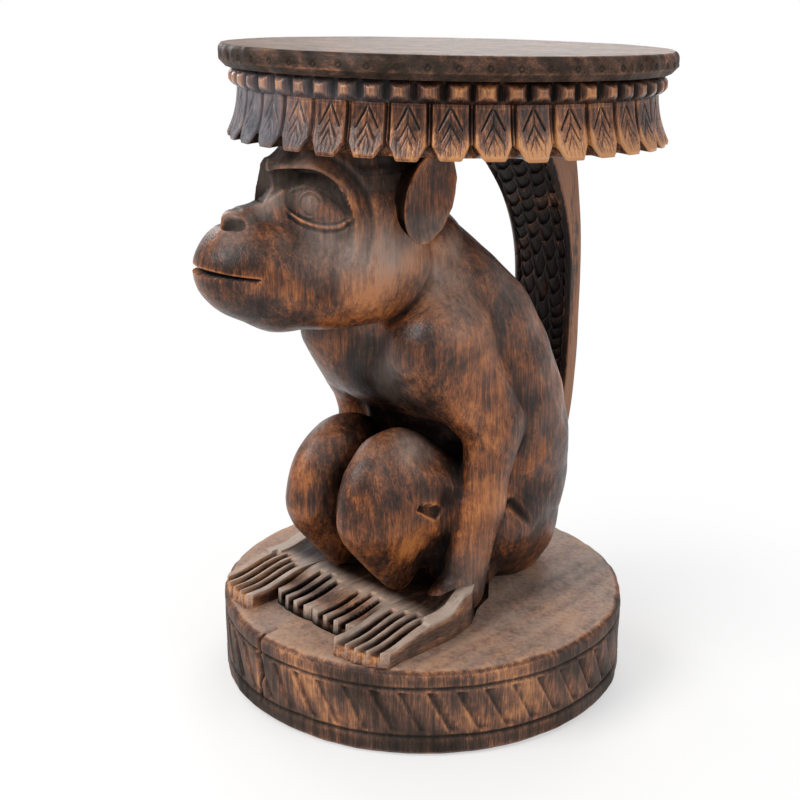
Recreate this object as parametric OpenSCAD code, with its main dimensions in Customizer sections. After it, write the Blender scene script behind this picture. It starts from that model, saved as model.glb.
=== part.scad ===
// Carved wooden stool: a squatting monkey on a round base carries a round seat on its head and tail.
// Millimetres. Z is up, the floor is z = 0 and the origin is the middle of the base's underside.
// The monkey faces -Y and its left side is +X; its head is turned towards its right.

/* [Overall] */
// Height of the seat top above the floor
stool_h = 500; // [485:1:515]
// Distance from the middle of the base back to the middle of the seat
seat_back = 25; // [20:1:30]

/* [Base] */
// Radius of the base
base_r = 165; // [160:1:175]
// Height of the base
base_h = 70; // [66:1:74]
// Width of the chamfer round the top and bottom edges of the base
base_edge = 4; // [2:0.5:6]
// Height of the middle of the lower ring groove
groove_low = 16; // [12:1:20]
// Height of the middle of the upper ring groove
groove_high = 55; // [48:1:58]
// Half the opening of a ring groove, which is also its depth
groove_w = 2.2; // [1:0.2:3]
// Number of slanting cuts round the band between the grooves
slant_count = 48; // [36:1:60]
// Depth of the slanting cuts
slant_depth = 1.8; // [1:0.1:2.5]
// Lean of the slanting cuts from upright, in degrees
slant_lean = 28; // [15:1:35]

/* [Seat] */
// Radius of the seat disc
seat_r = 173; // [168:1:182]
// Thickness of the seat disc
seat_t = 17; // [14:0.5:20]
// Radius of the worn upper edge of the seat disc
seat_round = 6; // [3:0.5:8]
// Chamfer under the rim of the seat disc
seat_chamfer = 5; // [2:0.5:7]
// Radius over the points of the bead band
bead_r = 166; // [162:1:168]
// Height of the bead band
bead_h = 15; // [12:0.5:17]
// Depth of the cuts between the beads
bead_cut = 7; // [6:0.5:8]
// Number of beads round the band
bead_count = 54; // [40:1:60]
// Radius of the leaf band at its top
leaf_top_r = 159; // [155:1:161]
// Radius of the leaf band at its foot, where it flares out
leaf_foot_r = 169; // [165:1:172]
// Height of the leaf band
leaf_h = 36; // [32:1:40]
// Depth of the cuts between the leaves
leaf_cut = 4; // [2:0.5:6]
// Width of the cut corners at the foot of each leaf
leaf_corner = 10; // [6:0.5:11]
// Number of leaves round the band
leaf_count = 36; // [30:1:40]

/* [Torso] */
// Half the width of the back
torso_w = 82; // [78:1:86]
// Half the depth of the back, front to rear
torso_d = 76; // [72:1:80]
// Distance from the stool's middle back to the middle of the back
torso_back = 52; // [49:1:55]
// Height of the middle of the back above the base
torso_z = 135; // [130:1:140]
// Half the width of the chest
chest_w = 78; // [74:1:82]
// Drop from the leaf band down to the middle of the chest
chest_drop = 154; // [149:1:159]
// Half the width of the neck
neck_w = 50; // [46:1:53]

/* [Legs] */
// Half the width of a knee
knee_w = 30; // [27:1:33]
// Half the depth of a knee, front to rear
knee_d = 54; // [50:1:58]
// Distance of the hip from the middle plane
hip_out = 60; // [56:1:63]
// Distance of the hip behind the stool's middle
hip_back = 34; // [28:1:40]
// Half the height of a knee
knee_h = 64; // [61:1:67]
// Height of the middle of a knee above the base
knee_z = 87; // [84:1:90]
// Distance from the stool's middle forward to the middle of a knee
knee_fwd = 61; // [58:1:64]

/* [Arms] */
// Radius of the shoulder
shoulder_r = 38; // [35:1:41]
// Distance of the shoulder from the middle plane
shoulder_out = 50; // [46:1:54]
// Half the thickness of the elbow, front to rear
elbow_r = 22; // [20:1:25]
// Half the width of the elbow, side to side
elbow_w = 17; // [15:1:20]
// Height of the elbow above the base
elbow_z = 142; // [136:1:148]
// Half the thickness of the wrist
wrist_r = 15; // [13:1:17]
// Distance of the elbow from the middle plane
elbow_out = 79; // [76:1:82]

/* [Hands and feet] */
// Distance of the middle of a hand from the middle plane
hand_out = 73; // [71:1:76]
// Width of a hand across the fingers
hand_w = 46; // [42:1:48]
// Distance of the finger ends forward from the stool's middle
hand_fwd = 142; // [136:1:146]
// Thickness of a hand
hand_t = 18; // [15:1:20]
// Width of the slots between fingers and between toes
slot_w = 4; // [3:0.5:5]
// Number of fingers on a hand
finger_count = 5; // [4:1:6]
// Width of a foot
foot_w = 46; // [40:1:48]
// Distance of the toe ends forward from the stool's middle
foot_fwd = 121; // [116:1:126]
// Thickness of a foot
foot_t = 17; // [14:1:19]
// Number of toes on a foot
toe_count = 4; // [3:1:5]

/* [Head] */
// Turn of the head towards the right, in degrees
head_turn = 20; // [15:1:25]
// Half the width of the skull
skull_w = 60; // [57:1:63]
// Half the height of the skull
skull_h = 50; // [48:1:52]
// Length from the neck's middle to the tip of the muzzle
muzzle_l = 148; // [142:1:154]
// Half the width of the muzzle
muzzle_w = 44; // [40:1:48]
// Half the height of the muzzle
muzzle_h = 42; // [39:1:45]
// Radius of the brow ridge round each eye
brow_r = 7; // [5:0.5:8]
// Radius of the eye
eye_r = 9; // [7:0.5:11]
// Height of an ear
ear_h = 66; // [60:1:70]
// Width of an ear, front to rear
ear_w = 44; // [40:1:48]
// Thickness of an ear
ear_t = 16; // [13:1:18]
// Half the width of the block between head and seat
crown_w = 54; // [50:1:58]
// Half the depth of the block between head and seat, front to rear
crown_d = 64; // [60:1:68]

/* [Tail] */
// Width of the tail strap
tail_w = 58; // [52:1:62]
// Thickness of the tail strap
tail_t = 20; // [18:1:23]
// Distance from the stool's middle back to the outer face of the tail
tail_back = 160; // [157:1:162]
// How far the top of the tail spreads forward under the seat
tail_flare = 53; // [45:1:58]

/* [Hidden] */
form_fn = 24;
detail_fn = 12;
slice_t = 1;
ring_fn = 96;
lap = 1;
bead_slope = 5;
leaf_z = stool_h - seat_t - bead_h - leaf_h;
bead_z = leaf_z + leaf_h;
seat_z = bead_z + bead_h;
head_y = -42;
neck_y = -22;
chest_z = leaf_z - base_h - chest_drop;
skull_z = leaf_z - skull_h - 5;
far = 400;
finger_l = 62;
toe_l = 42;
slot_floor = 4;
foot_nose = 30;
foot_rise = 50;
foot_l = 60;
skull_fwd = 20;
skull_d = 46;
forehead_fwd = 50;
forehead_up = 36;
forehead_d = 41;
forehead_h = 20;
face_fwd = 54;
face_r = 38;
jaw_fwd = 38;
jaw_drop = 34;
jaw_d = 52;
jaw_h = 44;
muzzle_back = 46;
muzzle_drop = 28;
muzzle_d = 45;
nose_top = 26;
socket_out = 56;
socket_fwd = 76;
socket_w = 14;
eye_out = 43;
eye_fwd = 78;
eye_up = 17;
mouth_l = 42;
mouth_drop = 29;
mouth_fall = 11;
mouth_open = 3;
ear_back = 4;
ear_up = 18;
crown_fwd = 18;
crown_h = 14;

function mix(a, b, t) = a + (b - a) * t;

// Ellipsoid with its middle at a point
module ball(at, r) {
    translate(at) scale(r) sphere(1, $fn = form_fn);
}

// Everything above the base top, used to cut a form flat where it stands
module above_base() {
    translate([-far, -far, base_h]) cube([2 * far, 2 * far, far]);
}

module base_disc() {
    color("#5a4334") difference() {
        rotate_extrude($fn = ring_fn) polygon(concat(
            [[0, 0], [base_r - base_edge, 0], [base_r, base_edge]],
            [for (z = [groove_low, groove_high], k = [-1, 0, 1])
                [base_r - (k == 0 ? groove_w : 0), z + k * groove_w]],
            [[base_r, base_h - base_edge], [base_r - base_edge, base_h], [0, base_h]]
        ));
        for (i = [0 : slant_count - 1]) {
            rotate([0, 0, (i + 0.5) * 360 / slant_count])
                translate([base_r, 0, (groove_low + groove_high) / 2])
                rotate([slant_lean, 0, 0])
                rotate([0, 0, 45])
                cube([slant_depth * sqrt(2), slant_depth * sqrt(2),
                    (groove_high - groove_low - 2 * groove_w) / cos(slant_lean) - 6], center = true);
        }
    }
}

module seat_disc() {
    a = seat_round;
    color("#5e4a3d") translate([0, seat_back, seat_z])
        rotate_extrude($fn = ring_fn) polygon(concat(
            [[0, 0], [seat_r - seat_chamfer, 0], [seat_r, seat_chamfer]],
            [for (t = [0 : 22.5 : 90]) [seat_r - a + a * cos(t), seat_t - a + a * sin(t)]],
            [[0, seat_t]]
        ));
}

module bead_band() {
    color("#4a3226") translate([0, seat_back, bead_z]) difference() {
        rotate_extrude($fn = ring_fn) polygon([
            [0, 0], [bead_r - bead_slope, 0], [bead_r, bead_h / 2], [bead_r - bead_slope, bead_h], [0, bead_h]
        ]);
        for (i = [0 : bead_count - 1]) {
            rotate([0, 0, (i + 0.5) * 360 / bead_count]) translate([bead_r - bead_cut, 0, -lap])
                rotate([0, 0, -45]) cube([2 * bead_cut, 2 * bead_cut, bead_h + 2 * lap]);
        }
    }
}

module leaf_band() {
    color("#53382a") translate([0, seat_back, leaf_z]) difference() {
        rotate_extrude($fn = ring_fn) polygon([
            [0, 0], [leaf_foot_r, 0], [leaf_foot_r, 4], [leaf_top_r + 2, leaf_h * 0.6],
            [leaf_top_r, leaf_h], [0, leaf_h]
        ]);
        for (i = [0 : leaf_count - 1]) {
            rotate([0, 0, (i + 0.5) * 360 / leaf_count]) {
                translate([leaf_foot_r, 0, 0]) rotate([0, -14, 0])
                    rotate([0, 0, 45]) cube([leaf_cut * 2, leaf_cut * 2, 3 * leaf_h], center = true);
                translate([leaf_foot_r, 0, 0]) rotate([45, 0, 0])
                    cube([18, leaf_corner, leaf_corner], center = true);
            }
        }
    }
}

// Point on a smooth path led by four values, from s = 0 to s = 1
function lead(p, s) =
    pow(1 - s, 3) * p[0] + 3 * pow(1 - s, 2) * s * p[1] + 3 * (1 - s) * s * s * p[2] + pow(s, 3) * p[3];

// Chain of ellipsoids, each pair wrapped, whose places and radii follow two smooth paths
module limb(places, radii, steps) {
    for (i = [0 : steps - 1]) {
        hull() for (k = [i, i + 1]) ball(lead(places, k / steps), lead(radii, k / steps));
    }
}

// Body without its limbs: rump, back, chest and neck
module torso_form() {
    hull() for (s = [-1, 1]) ball([s * (shoulder_out - 18), -22, base_h + chest_z - 14], [45, 50, 44]);
    intersection() {
        limb(
            [[0, torso_back + 14, base_h + 48], [0, torso_back + 14, base_h + torso_z - 15],
                [0, torso_back - 38, base_h + chest_z + 2], [0, neck_y, base_h + chest_z + 68]],
            [[torso_w - 8, torso_d - 12, 70], [torso_w + 4, torso_d + 2, 70],
                [chest_w + 18, torso_d + 8, 62], [neck_w, neck_w, 44]],
            9
        );
        above_base();
    }
}

// Left leg: an egg for the folded knee, a thigh that runs back to the hip and a calf behind the shin
module leg_form() {
    knee = [knee_w + 0.5, -knee_fwd, base_h + knee_z];
    hull() {
        ball(knee + [0, 0, 6], [knee_w, knee_d, knee_h - 10]);
        ball(knee + [4, 2, 22 - knee_h], [knee_w / 2.5, knee_d / 3.2, 18]);
    }
    hull() {
        ball(knee + [4, 12, 16], [knee_w - 1, knee_d - 14, 38]);
        ball([hip_out, hip_back, base_h + 58], [26, 40, 36]);
    }
    hull() {
        ball(knee + [3, 8, -30], [knee_w - 2, knee_d - 20, 32]);
        ball([hip_out - 16, 2, base_h + 28], [24, 36, 34]);
    }
}

// Left arm down to the wrist
module arm_form() {
    shoulder = [shoulder_out, -30, base_h + chest_z + 8];
    elbow = [elbow_out, 8, base_h + elbow_z];
    wrist = [elbow_out, -12, base_h + hand_t + 12];
    hull() {
        ball(shoulder, [shoulder_r, shoulder_r + 8, shoulder_r + 2]);
        ball(elbow + [-2, -4, 6], [elbow_w + 3, elbow_r + 8, elbow_r + 2]);
    }
    hull() {
        ball(elbow, [elbow_w, elbow_r, elbow_r]);
        ball(mix(elbow, wrist, 0.5), [wrist_r, wrist_r + 4, wrist_r]);
    }
    hull() {
        ball(mix(elbow, wrist, 0.5), [wrist_r, wrist_r + 4, wrist_r]);
        ball(wrist - [1, 0, 0], [wrist_r, wrist_r + 7, wrist_r]);
    }
}

// Left hand: a flat slab with a raised heel and slots between the fingers
module hand_form() {
    translate([hand_out, 0, base_h]) difference() {
        hull() {
            linear_extrude(hand_t * 0.7) polygon([
                [-hand_w / 2, -hand_fwd], [0, -hand_fwd + 1], [hand_w / 2, -hand_fwd + 14],
                [hand_w / 2, -hand_fwd + 50], [-hand_w / 2, -hand_fwd + 50]
            ]);
            linear_extrude(hand_t) polygon([
                [-hand_w / 2 + 6, -hand_fwd + 62], [hand_w / 2 - 2, -hand_fwd + 62],
                [hand_w / 2, -46], [20, -4], [13, 8], [-5, 8], [-12, -4], [-14, -36]
            ]);
        }
        for (i = [1 : finger_count - 1]) {
            translate([-hand_w / 2 + i * hand_w / finger_count, -hand_fwd - lap, slot_floor])
                rotate([6, 0, 0]) translate([-slot_w / 2, -lap, 0]) cube([slot_w, finger_l, hand_t]);
        }
    }
}

// Left foot: a flat slab under the knee with slots between the toes
module foot_form() {
    translate([foot_w / 2 + 0.5, 0, base_h]) difference() {
        hull() {
            translate([-foot_w / 2, -foot_fwd, 0]) cube([foot_w, foot_nose, foot_t * 0.7]);
            translate([-foot_w / 2, -foot_fwd + foot_rise, 0]) cube([foot_w, foot_l, foot_t]);
        }
        for (i = [1 : toe_count - 1]) {
            translate([-foot_w / 2 + i * foot_w / toe_count, -foot_fwd - lap, slot_floor])
                rotate([8, 0, 0]) translate([-slot_w / 2, -lap, 0]) cube([slot_w, toe_l, foot_t]);
        }
    }
}

module left_foot() {
    color("#54402f") foot_form();
}

module right_foot() {
    color("#54402f") mirror([1, 0, 0]) foot_form();
}

module left_hand() {
    color("#5b4230") hand_form();
}

module right_hand() {
    color("#5b4230") mirror([1, 0, 0]) hand_form();
}

// Left leg after the torso and the foot have taken their room
module leg_cut() {
    difference() {
        intersection() {
            leg_form();
            translate([0.3, -far, base_h]) cube([far, 2 * far, far]);
        }
        torso_form();
        foot_form();
        knee_notch();
    }
}

// Fold behind the knee, a notch cut into the outer side of the left leg
module knee_notch() {
    translate([2 * knee_w + 1, -knee_fwd + 8, base_h + knee_z + 1]) rotate([0, 0, -16])
        rotate([40, 0, 0]) rotate([90, 0, 90]) cylinder(22, 2, 14, center = true, $fn = 3);
}

module left_leg() {
    color("#6b4326") leg_cut();
}

module right_leg() {
    color("#6b4326") mirror([1, 0, 0]) leg_cut();
}

// Left arm after the torso, the leg and the hand have taken their room
module arm_cut() {
    difference() {
        arm_form();
        torso_form();
        leg_form();
        hand_form();
    }
}

module left_arm() {
    color("#6a4429") arm_cut();
}

module right_arm() {
    color("#6a4429") mirror([1, 0, 0]) arm_cut();
}

module torso() {
    color("#5c3d29") torso_form();
}

module tail() {
    steps = 14;
    top = leaf_z;
    low = base_h + 60;
    color("#4b3325") difference() {
        for (i = [0 : steps - 1]) {
            hull() for (k = [i, i + 1]) tail_slice(mix(low, top - slice_t, k / steps), k / steps);
        }
        torso_form();
    }
}

// One level slice of the tail; s runs from 0 at the rump to 1 under the seat
module tail_slice(z, s) {
    outer = tail_back - 24 * pow(max(0, 1 - s / 0.46), 2) - 17 * pow(max(0, s - 0.63) / 0.37, 1.7);
    thick = tail_t + tail_flare * pow(max(0, s - 0.56) / 0.44, 2.2);
    translate([-tail_w / 2, outer - thick, z]) cube([tail_w, thick, slice_t]);
}

module place_head() {
    translate([0, head_y, 0]) rotate([0, 0, -head_turn]) children();
}

// Ridge of the brow round one eye, from the nose bridge over the eye and down the cheek
module brow_ridge() {
    places = [
        [8, -90, skull_z + 40], [48, -100, skull_z + 60],
        [68, -28, skull_z + 34], [52, -54, skull_z - 30]
    ];
    for (i = [0 : 6]) {
        hull() for (k = [i, i + 1])
            translate(lead(places, k / 7)) sphere(brow_r, $fn = detail_fn);
    }
}

// Head in its own frame, facing -Y
module head_form() {
    skull = [0, -skull_fwd, skull_z];
    cheek = [0, -jaw_fwd, skull_z - jaw_drop];
    muzzle = [0, -(muzzle_l - muzzle_back), skull_z - muzzle_drop];
    place_head() difference() {
        union() {
            hull() {
                ball(skull, [skull_w, skull_d, skull_h]);
                ball([0, -forehead_fwd, skull_z + forehead_up], [skull_w - 6, forehead_d, forehead_h]);
                ball([0, -face_fwd, skull_z + 2], [skull_w - 8, face_r, face_r]);
            }
            hull() {
                ball(skull - [0, 0, 14], [skull_w - 2, skull_d, skull_h]);
                ball(cheek, [skull_w - 2, jaw_d, jaw_h]);
            }
            hull() {
                ball(cheek + [0, -8, -1], [skull_w - 6, jaw_d - 12, jaw_h - 2]);
                ball(muzzle, [muzzle_w, muzzle_d, muzzle_h - 6]);
                ball(muzzle + [0, 14, -6], [muzzle_w, muzzle_d - 3, muzzle_h]);
            }
            hull() {
                ball([0, -(muzzle_l - 32), skull_z + 8], [15, 9, 7]);
                ball([0, -(muzzle_l - 56), skull_z + 14], [14, 14, 14]);
                ball([0, -(muzzle_l - 62), skull_z + nose_top], [12, 10, 12]);
            }
        }
        for (s = [-1, 1]) {
            translate([s * socket_out, -socket_fwd, skull_z + 6]) rotate([0, 0, -s * 26])
                ball([0, 0, 0], [socket_w, 36, 34]);
            ball([s * 9, -(muzzle_l - 26), skull_z + 4], [5, 6, 4]);
        }
        hull() {
            translate([-far, -muzzle_l - lap, skull_z - mouth_drop]) cube([2 * far, 0.1, mouth_open]);
            translate([-far, -muzzle_l + mouth_l, skull_z - mouth_drop - mouth_fall]) cube([2 * far, 0.1, 0.4]);
        }
    }
    place_head() {
        for (s = [-1, 1]) ball([s * eye_out, -eye_fwd, skull_z + eye_up], [eye_r, eye_r, eye_r]);
        brow_ridge();
        mirror([1, 0, 0]) brow_ridge();
    }
}

module head() {
    color("#5f3f2a") difference() {
        intersection() {
            head_form();
            translate([-far, -far, 0]) cube([2 * far, 2 * far, leaf_z - 6]);
        }
        torso_form();
    }
}

// Left ear in the head's frame: a thick oval shell with a hollow facing forward and out
module ear_form() {
    place_head() translate([skull_w + 6, ear_back, skull_z + ear_up]) rotate([0, -6, -38]) difference() {
        scale([ear_t / 2, ear_w / 2, ear_h / 2]) sphere(1, $fn = form_fn);
        translate([ear_t / 2, -1, 1]) scale([ear_t / 2 - 1, ear_w / 2 - 5, ear_h / 2 - 6])
            sphere(1, $fn = form_fn);
    }
}

module left_ear() {
    color("#553a29") difference() {
        ear_form();
        head_form();
        torso_form();
    }
}

module right_ear() {
    color("#553a29") difference() {
        translate([0, head_y, 0]) rotate([0, 0, -head_turn]) mirror([1, 0, 0])
            rotate([0, 0, head_turn]) translate([0, -head_y, 0]) ear_form();
        head_form();
        torso_form();
    }
}

module crown_block() {
    color("#453024") difference() {
        place_head() hull() {
            translate([0, -crown_fwd, leaf_z - crown_h]) scale([crown_w, crown_d, 1])
                cylinder(crown_h, 1, 1, $fn = form_fn);
        }
        head();
        torso_form();
    }
}

base_disc();
left_foot();
right_foot();
left_hand();
right_hand();
left_leg();
right_leg();
left_arm();
right_arm();
torso();
head();
left_ear();
right_ear();
tail();
crown_block();
leaf_band();
bead_band();
seat_disc();
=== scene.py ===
"""Carved wooden stool: a squatting monkey on a round base carries a round seat on its head and tail.

Sizes in each section are millimetres in the frame of the CAD: Z up, the floor at z = 0, the monkey
facing -Y with its left side at +X. A mesh is turned to metres when it is made.
"""
import math

import bpy
import numpy as np
from mathutils import Matrix


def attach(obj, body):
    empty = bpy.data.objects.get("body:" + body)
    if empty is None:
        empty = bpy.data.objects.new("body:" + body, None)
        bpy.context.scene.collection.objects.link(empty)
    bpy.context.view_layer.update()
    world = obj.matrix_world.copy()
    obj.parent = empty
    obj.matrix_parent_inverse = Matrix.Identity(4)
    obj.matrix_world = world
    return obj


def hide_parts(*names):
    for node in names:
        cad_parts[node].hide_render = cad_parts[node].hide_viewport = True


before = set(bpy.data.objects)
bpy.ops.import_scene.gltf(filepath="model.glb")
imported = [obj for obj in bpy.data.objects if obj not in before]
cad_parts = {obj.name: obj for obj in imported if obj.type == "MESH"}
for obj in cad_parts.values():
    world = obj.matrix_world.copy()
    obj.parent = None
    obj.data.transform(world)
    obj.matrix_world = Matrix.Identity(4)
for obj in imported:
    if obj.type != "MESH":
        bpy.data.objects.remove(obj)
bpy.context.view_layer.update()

# ---- Camera, floor and light ----
# The photograph is taken from the monkey's left front, from a little above the seat, and shows
# the stool on a white sheet under a large soft light, with only a faint shadow at its foot.
MM = 0.001
CAMERA_AT = (707.1, -707.1, 537.0)
CAMERA_TURN = math.radians(46.05)
CAMERA_DIP = math.radians(17.4)
CAMERA_ROLL = math.radians(-0.15)
FOCAL_PX = 1300
FRAME_PX = 800
SENSOR_MM = 36.0


def linear(code):
    """An sRGB hex value as linear red, green and blue with an opacity of one."""
    value = np.array([int(code[k:k + 2], 16) for k in (1, 3, 5)]) / 255
    return (*np.where(value <= 0.04045, value / 12.92, ((value + 0.055) / 1.055) ** 2.4), 1.0)


def add(tree, kind, settings=None, links=None):
    """Adds a node with its own settings; links gives values or sockets by input name or number."""
    node = tree.nodes.new(kind)
    for name, value in (settings or {}).items():
        setattr(node, name, value)
    for name, value in (links or {}).items():
        if isinstance(value, bpy.types.NodeSocket):
            tree.links.new(value, node.inputs[name])
        else:
            node.inputs[name].default_value = value
    return node


def blank(name):
    """A new material with an empty node tree and its output node."""
    material = bpy.data.materials.new(name)
    material.use_nodes = True
    material.node_tree.nodes.clear()
    return material, material.node_tree, material.node_tree.nodes.new("ShaderNodeOutputMaterial")


def put(name, data, place=(0, 0, 0), axes=((1, 0, 0), (0, 1, 0), (0, 0, 1))):
    """A new object in the scene, at a place in mm and turned to three axes."""
    thing = bpy.data.objects.new(name, data)
    bpy.context.scene.collection.objects.link(thing)
    thing.matrix_world = (Matrix.Translation([v * MM for v in place])
                          @ Matrix(np.transpose(axes).tolist()).to_4x4())
    return thing


ahead = np.array([-math.sin(CAMERA_TURN) * math.cos(CAMERA_DIP),
                  math.cos(CAMERA_TURN) * math.cos(CAMERA_DIP), -math.sin(CAMERA_DIP)])
right = np.array([math.cos(CAMERA_TURN), math.sin(CAMERA_TURN), 0.0])
up = np.cross(right, ahead)
right, up = (right * math.cos(CAMERA_ROLL) + up * math.sin(CAMERA_ROLL),
             up * math.cos(CAMERA_ROLL) - right * math.sin(CAMERA_ROLL))
camera = put("camera", bpy.data.cameras.new("camera"), CAMERA_AT, (right, up, -ahead))
camera.data.sensor_width = SENSOR_MM
camera.data.lens = FOCAL_PX * SENSOR_MM / FRAME_PX
bpy.context.scene.camera = camera
bpy.context.scene.view_settings.view_transform = "Standard"

# A sheet of matt white card: it takes the stool's shadow, and the camera sees the rest as white
paper, tree, output = blank("white_card_floor")
path = add(tree, "ShaderNodeLightPath")
seen = add(tree, "ShaderNodeMath", {"operation": "MAXIMUM"},
           {0: path.outputs["Is Camera Ray"], 1: path.outputs["Is Glossy Ray"]})
card = add(tree, "ShaderNodeBsdfDiffuse", links={"Color": linear("#e6e4e2")})
lift = add(tree, "ShaderNodeEmission", links={"Color": linear("#ffffff"), "Strength": 1.0})
# Round the stool the camera sees about half of the card's own shade; from half a metre out the card
# is plain white
away = add(tree, "ShaderNodeVectorMath", {"operation": "LENGTH"},
           {0: add(tree, "ShaderNodeTexCoord").outputs["Object"]})
white_share = add(tree, "ShaderNodeMapRange", {"interpolation_type": "SMOOTHSTEP"}, {
    "Value": away.outputs["Value"], "From Min": 0.15, "From Max": 0.52, "To Min": 0.45, "To Max": 1.0})
clear = add(tree, "ShaderNodeMath", {"operation": "MULTIPLY"},
            {0: white_share.outputs[0], 1: seen.outputs[0]})
dim = add(tree, "ShaderNodeMixShader",
          links={0: clear.outputs[0], 1: card.outputs[0], 2: lift.outputs[0]})
tree.links.new(dim.outputs[0], output.inputs["Surface"])
FLOOR_HALF = 6000
floor_mesh = bpy.data.meshes.new("floor")
floor_mesh.from_pydata([(x * FLOOR_HALF * MM, y * FLOOR_HALF * MM, 0.0)
                        for x, y in ((-1, -1), (1, -1), (1, 1), (-1, 1))], [], [(0, 1, 2, 3)])
floor_mesh.materials.append(paper)
floor = put("floor", floor_mesh)

# The room: an even pale grey that lights the stool, and plain white where the camera looks at it
world = bpy.data.worlds.new("studio")
world.use_nodes = True
sky = world.node_tree
sky.nodes.clear()
bpy.context.scene.world = world
path = add(sky, "ShaderNodeLightPath")
seen = add(sky, "ShaderNodeMath", {"operation": "MAXIMUM"},
           {0: path.outputs["Is Camera Ray"], 1: path.outputs["Is Transmission Ray"]})
room = add(sky, "ShaderNodeBackground", links={"Color": linear("#f2f4f8"), "Strength": 0.62})
white = add(sky, "ShaderNodeBackground", links={"Color": linear("#ffffff"), "Strength": 1.0})
both = add(sky, "ShaderNodeMixShader",
           links={0: seen.outputs[0], 1: room.outputs[0], 2: white.outputs[0]})
add(sky, "ShaderNodeOutputWorld", links={"Surface": both.outputs[0]})


def softbox(name, place, aim, size, watts):
    """A square white area lamp of a size and at a place in mm, that faces a point."""
    lamp = bpy.data.lights.new(name, "AREA")
    lamp.size = size * MM
    lamp.energy = watts
    back = np.array(place, float) - np.array(aim, float)
    back /= np.linalg.norm(back)
    side = np.cross((0.0, 0.0, 1.0), back)
    side /= np.linalg.norm(side)
    put(name, lamp, place, (side, np.cross(back, side), back))


softbox("key", (-350, -1500, 1500), (0, 0, 280), 1100, 32)
softbox("fill", (1500, 100, 1000), (0, 0, 250), 1300, 10)
softbox("window", (-1500, 250, 950), (0, 0, 330), 550, 5)
softbox("back", (-900, 1300, 1300), (0, 0, 300), 1000, 14)

# ---- Base ----
# The foot of the log, left as a round slab. Its side is shaved between two scored rings and cut
# with slanting strokes, its top is pared down with a flat gouge round the figure.
BASE_R = 165.0
BASE_H = 70.0
BASE_EDGE = 4.0
RING_LOW, RING_HIGH = 16.0, 55.0
RING_W = 2.2
STROKES = 48
STROKE_DEPTH = 2.2
STROKE_LEAN = math.radians(28)
BASE_COLUMNS = STROKES * 19
CRACK_TURN = math.radians(-94)
chance = np.random.default_rng(7)


def smooth(low, high, x):
    """A smooth step: 0 below low, 1 above high, and three t squared less two t cubed between."""
    t = np.clip((x - low) / (high - low), 0, 1)
    return t * t * (3 - 2 * t)


def bump(x, at, width):
    """A rounded ridge of height 1 at a value of x: exp(-u squared), u being the way off over width."""
    return np.exp(-((x - at) / width) ** 2)


def wander(x, y=0.0, z=0.0):
    """Slow unevenness between -1 and 1: sines along four slanting directions, added and shared."""
    return (np.sin(0.91 * x + 0.33 * y - 0.47 * z + 0.6) + np.sin(-0.38 * x + 0.87 * y + 0.71 * z + 2.1)
            + np.sin(0.55 * x - 0.62 * y + 0.93 * z + 4.4) + np.sin(1.73 * x + 1.31 * y - 1.19 * z)) / 4


def round_turns(count, shift=0.0):
    """Equal turns round a circle in radians, the first at shift of a step."""
    return (np.arange(count) + shift) / count * math.tau


def even(outline, gap):
    """Points along an outline of straight runs, at most gap apart, with every corner kept."""
    outline = np.array(outline, float)
    runs = [np.linspace(a, b, max(2, math.ceil(np.linalg.norm(b - a) / g) + 1))[:-1]
            for a, b, g in zip(outline[:-1], outline[1:], gap)]
    return np.concatenate([*runs, outline[-1:]])


def edge_wear(points, *scales):
    """How proud each point stands of those some cells away, over their reach: above 0 on an edge, and
    below 0 in a hollow, which is painted dark as shade. A scale is the number of cells, the gain, and
    the bounds of its share; the shares are added."""
    row = np.arange(len(points))
    wear = 0
    for step, gain, least, most in scales:
        above, below = points[np.minimum(row + step, row[-1])], points[np.maximum(row - step, 0)]
        left, right_side = np.roll(points, step, axis=1), np.roll(points, -step, axis=1)
        out = np.cross(right_side - left, above - below)
        out /= np.linalg.norm(out, axis=-1, keepdims=True) + 1e-9
        reach = np.linalg.norm(above - below, axis=-1) + np.linalg.norm(right_side - left, axis=-1)
        proud = ((4 * points - above - below - left - right_side) * out).sum(-1) / (reach + 1e-9)
        wear = wear + np.clip(gain * proud, least, most)
    return wear


def skin(name, points, material, slot, normals=None, node=None, **marks):
    """A piece as a closed mesh on a grid of points, rows by columns: columns wrap round, and an end row
    closes on its middle. marks are values over the grid, kept as attributes for the material. The
    piece replaces the node of its own name, or another, or none."""
    rows, cols = points.shape[:2]
    verts = np.concatenate([points.reshape(-1, 3), points[[0, -1]].mean(axis=1)])
    low = np.arange(rows - 1)[:, None] * cols
    here = np.arange(cols)
    there = (here + 1) % cols
    quads = np.stack([low + here, low + there, low + cols + there, low + cols + here], axis=-1)
    top = (rows - 1) * cols
    caps = np.concatenate([np.stack([there, here, np.full(cols, rows * cols)], axis=-1),
                           np.stack([top + here, top + there, np.full(cols, rows * cols + 1)], axis=-1)])
    mesh = bpy.data.meshes.new(name)
    mesh.from_pydata((verts * MM).tolist(), [], quads.reshape(-1, 4).tolist() + caps.tolist())
    mesh.shade_smooth()
    for mark, value in marks.items():
        value = np.broadcast_to(value, (rows, cols))
        value = np.concatenate([value.reshape(-1), value[[0, -1]].mean(axis=1)])
        mesh.attributes.new(mark, "FLOAT", "POINT").data.foreach_set("value", value.astype(np.float32))
    if normals is not None:
        normals = np.concatenate([normals.reshape(-1, 3), normals[[0, -1]].mean(axis=1)])
        mesh.normals_split_custom_set_from_vertices(normals.tolist())
    mesh.materials.append(material)
    piece = put(name, mesh)
    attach(piece, "root")
    node = name if node is None else node
    if node:
        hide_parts(node)


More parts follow.
